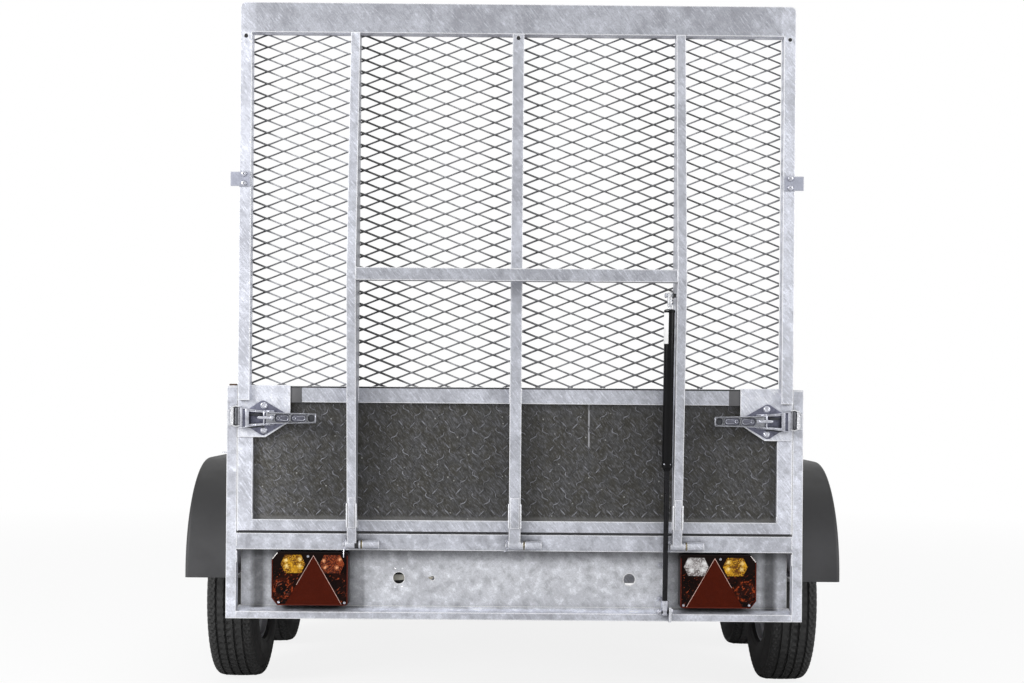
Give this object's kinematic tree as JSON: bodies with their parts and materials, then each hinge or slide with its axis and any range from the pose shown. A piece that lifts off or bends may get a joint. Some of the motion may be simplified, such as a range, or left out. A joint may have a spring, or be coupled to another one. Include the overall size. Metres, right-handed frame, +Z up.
{
  "type": "goods trailer with loading ramp",
  "caption": "Flat-bed goods trailer with low sides, tandem axles under plastic mudguards, drawbar with jockey wheel, and a tall mesh loading ramp held by a gas strut.",
  "frame": {"origin": "on the ground, in the middle of the trailer's footprint", "axes": "+Y forward to the coupling, +X to the trailer's right, +Z up"},
  "size_m": [2.084, 4.52, 2.048],
  "materials": {
    "galvanised": "satin, spangled zinc",
    "floor_board": "resin-faced plywood",
    "tread_plate": "dull chequer",
    "mudguard_plastic": "matt, grained",
    "lamp_black": "glossy",
    "reflector_red": "glossy",
    "lens_amber": "glossy",
    "lens_red": "glossy",
    "lens_clear": "glossy",
    "zinc_plate": "bright",
    "black_rubber": "matt",
    "painted_black": "satin",
    "tyre_rubber": "matt",
    "wheel_silver": "satin",
    "cast_drum": "rough",
    "jockey_rubber": "matt"
  },
  "bodies": {
    "chassis": {"rear_frame": "galvanised", "side_rails": "galvanised", "cross_members": "galvanised", "floor": "floor_board", "side_frames": "galvanised", "side_panels": "galvanised", "headboard": "galvanised", "axle_rear": "galvanised", "axle_front": "galvanised", "axle_brackets": "galvanised", "mudguard_left": "mudguard_plastic", "mudguard_right": "mudguard_plastic", "guard_brackets": "galvanised", "lamp_bodies": "lamp_black", "lamp_triangles": "reflector_red", "amber_lenses": "lens_amber", "fog_lens": "lens_red", "reverse_lens": "lens_clear", "fixed_hinges": "galvanised", "keepers": "zinc_plate", "strut_bracket": "galvanised", "drawbar_leg_left": "galvanised", "drawbar_leg_right": "galvanised", "overrun_unit": "galvanised", "coupling_shaft": "painted_black", "gaiter": "black_rubber", "coupling_head": "zinc_plate", "brake_lever": "painted_black", "jockey_tube": "zinc_plate", "jockey_clamp": "zinc_plate"},
    "ramp": {"ramp_lower_frame": "galvanised", "tread_plate": "tread_plate", "ramp_upper_frame": "galvanised", "outer_ribs": "galvanised", "centre_rib": "galvanised", "ramp_brace": "galvanised", "ramp_mesh": "galvanised", "gussets": "galvanised", "ramp_lugs": "galvanised", "latches": "zinc_plate"},
    "strut_cylinder": {"strut_cylinder": "painted_black"},
    "strut_rod": {"strut_rod": "painted_black"},
    "wheel_rear_left": {"tyre_rear_left": "tyre_rubber", "rim_rear_left": "wheel_silver", "drum_rear_left": "cast_drum"},
    "wheel_rear_right": {"tyre_rear_right": "tyre_rubber", "rim_rear_right": "wheel_silver", "drum_rear_right": "cast_drum"},
    "wheel_front_left": {"tyre_front_left": "tyre_rubber", "rim_front_left": "wheel_silver", "drum_front_left": "cast_drum"},
    "wheel_front_right": {"tyre_front_right": "tyre_rubber", "rim_front_right": "wheel_silver", "drum_front_right": "cast_drum"},
    "jockey_leg": {"jockey_leg": "zinc_plate"},
    "jockey_fork": {"jockey_fork": "zinc_plate"},
    "jockey_wheel": {"jockey_wheel": "jockey_rubber"}
  },
  "joints": [
    {"name": "ramp_hinge", "type": "hinge", "parent": "chassis", "child": "ramp", "pos_m": [0, -2.174, 0.559], "axis": [1, 0, 0], "range_deg": [0, 111]},
    {"name": "strut_swing", "type": "hinge", "parent": "ramp", "child": "strut_cylinder", "pos_m": [0.415, -2.244, 1.246], "axis": [1, 0, 0], "range_deg": [-14, 0]},
    {"name": "strut_slide", "type": "slide", "parent": "strut_cylinder", "child": "strut_rod", "axis": [0, 0.0794, -0.9968], "range_m": [-0.245, 0]},
    {"name": "wheel_rear_left_spin", "type": "hinge", "parent": "chassis", "child": "wheel_rear_left", "pos_m": [-0.927, -1.13, 0.298], "axis": [1, 0, 0], "continuous": true},
    {"name": "wheel_rear_right_spin", "type": "hinge", "parent": "chassis", "child": "wheel_rear_right", "pos_m": [0.927, -1.13, 0.298], "axis": [1, 0, 0], "continuous": true},
    {"name": "wheel_front_left_spin", "type": "hinge", "parent": "chassis", "child": "wheel_front_left", "pos_m": [-0.927, -0.42, 0.298], "axis": [1, 0, 0], "continuous": true},
    {"name": "wheel_front_right_spin", "type": "hinge", "parent": "chassis", "child": "wheel_front_right", "pos_m": [0.927, -0.42, 0.298], "axis": [1, 0, 0], "continuous": true},
    {"name": "jockey_slide", "type": "slide", "parent": "chassis", "child": "jockey_leg", "axis": [0, 0, 1], "range_m": [-0.1, 0.06]},
    {"name": "jockey_swivel", "type": "hinge", "parent": "jockey_leg", "child": "jockey_fork", "pos_m": [0.20157, 1.67, 0.222], "axis": [0, 0, 1], "continuous": true},
    {"name": "jockey_spin", "type": "hinge", "parent": "jockey_fork", "child": "jockey_wheel", "pos_m": [0.20157, 1.632, 0.1], "axis": [1, 0, 0], "continuous": true}
  ],
  "couplings": [
    {"joint": "strut_swing", "follows": "ramp_hinge", "ratio": -0.1207},
    {"joint": "strut_slide", "follows": "ramp_hinge", "m_per_rad": -0.12355}
  ]
}
